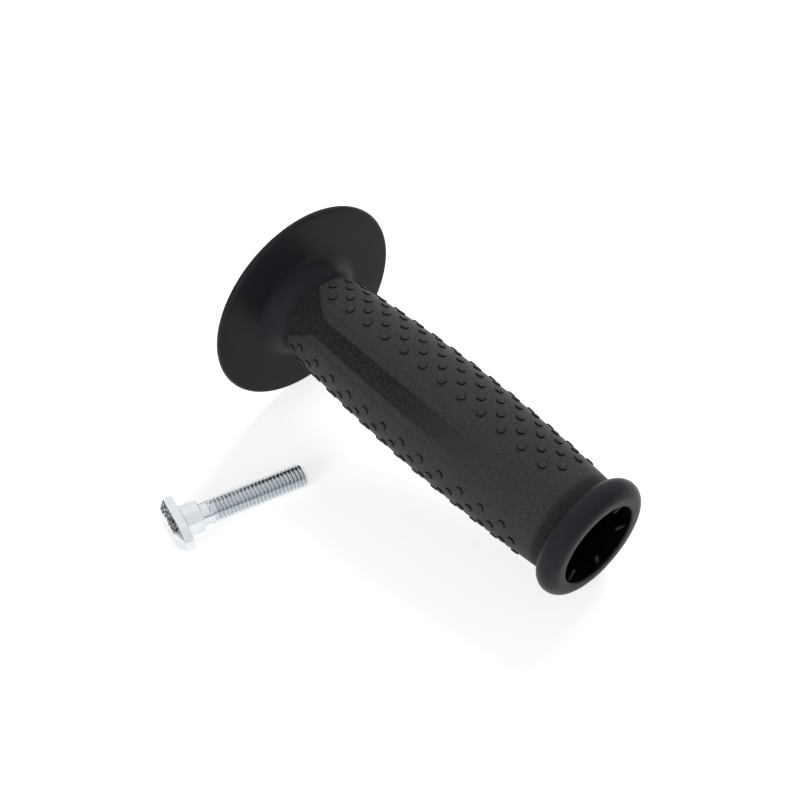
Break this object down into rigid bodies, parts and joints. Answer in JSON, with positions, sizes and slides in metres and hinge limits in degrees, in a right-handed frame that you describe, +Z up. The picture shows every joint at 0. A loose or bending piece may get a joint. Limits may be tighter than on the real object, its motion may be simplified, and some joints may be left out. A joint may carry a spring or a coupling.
{
  "type": "power tool side handle",
  "caption": "Moulded side handle lying on its round hand guard flange and end bead, with a dotted hollow grip and a captive hex nut, beside its hammer-head clamp bolt.",
  "frame": {"origin": "on the floor, under the middle of the box round handle and bolt", "axes": "+X from the flange towards the end bead, level; +Y away from the bolt; +Z up"},
  "size_m": [0.1364, 0.1138, 0.0695],
  "materials": {
    "handle_plastic": "satin black moulding, spark-textured on the grip",
    "nut_zinc": "bright zinc plate",
    "bolt_zinc": "bright zinc plate"
  },
  "bodies": {
    "root": {"handle": "handle_plastic", "hex_nut": "nut_zinc", "t_bolt": "bolt_zinc"}
  },
  "joints": []
}
